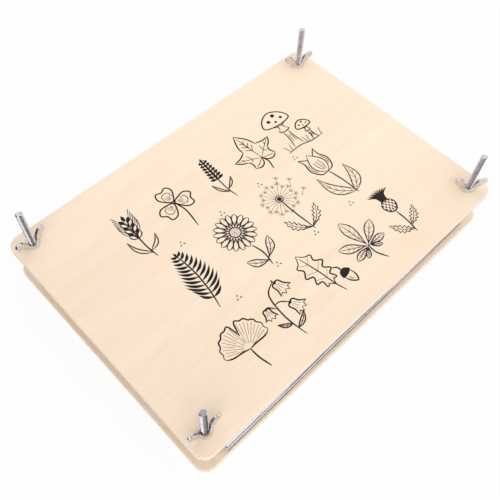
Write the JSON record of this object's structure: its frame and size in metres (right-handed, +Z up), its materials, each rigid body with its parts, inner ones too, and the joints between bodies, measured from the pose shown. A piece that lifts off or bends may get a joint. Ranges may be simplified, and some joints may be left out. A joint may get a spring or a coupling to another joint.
{
  "type": "flower press",
  "caption": "Wooden press whose boards, bolts and wing nuts squeeze a stack of corrugated cards and blotting sheets to flatten and dry flowers.",
  "frame": {"origin": "middle of the bottom board's underside, on the surface that the press stands on", "axes": "+X along the length of the press, +Y across it towards the top of the printed face, +Z up along the bolts"},
  "size_m": [0.3, 0.21, 0.0768],
  "materials": {
    "plywood": "satin",
    "bolt_zinc": "gloss",
    "nut_zinc": "satin",
    "corrugated_card": "matte",
    "blotting_paper": "matte"
  },
  "bodies": {
    "base": {"bottom_board": "plywood", "carriage_bolt_back_left": "bolt_zinc", "carriage_bolt_front_left": "bolt_zinc", "carriage_bolt_front_right": "bolt_zinc", "carriage_bolt_back_right": "bolt_zinc", "corrugated_card_1": "corrugated_card", "corrugated_card_2": "corrugated_card", "corrugated_card_3": "corrugated_card", "corrugated_card_4": "corrugated_card", "corrugated_card_5": "corrugated_card", "corrugated_card_6": "corrugated_card", "corrugated_card_7": "corrugated_card", "blotting_sheet_1": "blotting_paper", "blotting_sheet_2": "blotting_paper", "blotting_sheet_3": "blotting_paper", "blotting_sheet_4": "blotting_paper", "blotting_sheet_5": "blotting_paper", "blotting_sheet_6": "blotting_paper", "blotting_sheet_7": "blotting_paper", "blotting_sheet_8": "blotting_paper", "blotting_sheet_9": "blotting_paper", "blotting_sheet_10": "blotting_paper", "blotting_sheet_11": "blotting_paper", "blotting_sheet_12": "blotting_paper"},
    "upper_board": {"top_board": "plywood"},
    "nut_back_left": {"wing_nut_back_left": "nut_zinc"},
    "nut_front_left": {"wing_nut_front_left": "nut_zinc"},
    "nut_front_right": {"wing_nut_front_right": "nut_zinc"},
    "nut_back_right": {"wing_nut_back_right": "nut_zinc"}
  },
  "joints": [
    {"name": "board_lift", "type": "slide", "parent": "base", "child": "upper_board", "axis": [0, 0, 1], "range_m": [0, 0.032]},
    {"name": "spin_back_left", "type": "hinge", "parent": "upper_board", "child": "nut_back_left", "pos_m": [-0.136, 0.091, 0.039], "axis": [0, 0, 1], "range_deg": [0, 14400]},
    {"name": "spin_front_left", "type": "hinge", "parent": "upper_board", "child": "nut_front_left", "pos_m": [-0.136, -0.091, 0.039], "axis": [0, 0, 1], "range_deg": [0, 14400]},
    {"name": "spin_front_right", "type": "hinge", "parent": "upper_board", "child": "nut_front_right", "pos_m": [0.136, -0.091, 0.039], "axis": [0, 0, 1], "range_deg": [0, 14400]},
    {"name": "spin_back_right", "type": "hinge", "parent": "upper_board", "child": "nut_back_right", "pos_m": [0.136, 0.091, 0.039], "axis": [0, 0, 1], "range_deg": [0, 14400]}
  ],
  "couplings": [
    {"joint": "spin_back_left", "follows": "board_lift", "rad_per_m": 7854},
    {"joint": "spin_front_left", "follows": "board_lift", "rad_per_m": 7854},
    {"joint": "spin_front_right", "follows": "board_lift", "rad_per_m": 7854},
    {"joint": "spin_back_right", "follows": "board_lift", "rad_per_m": 7854}
  ]
}
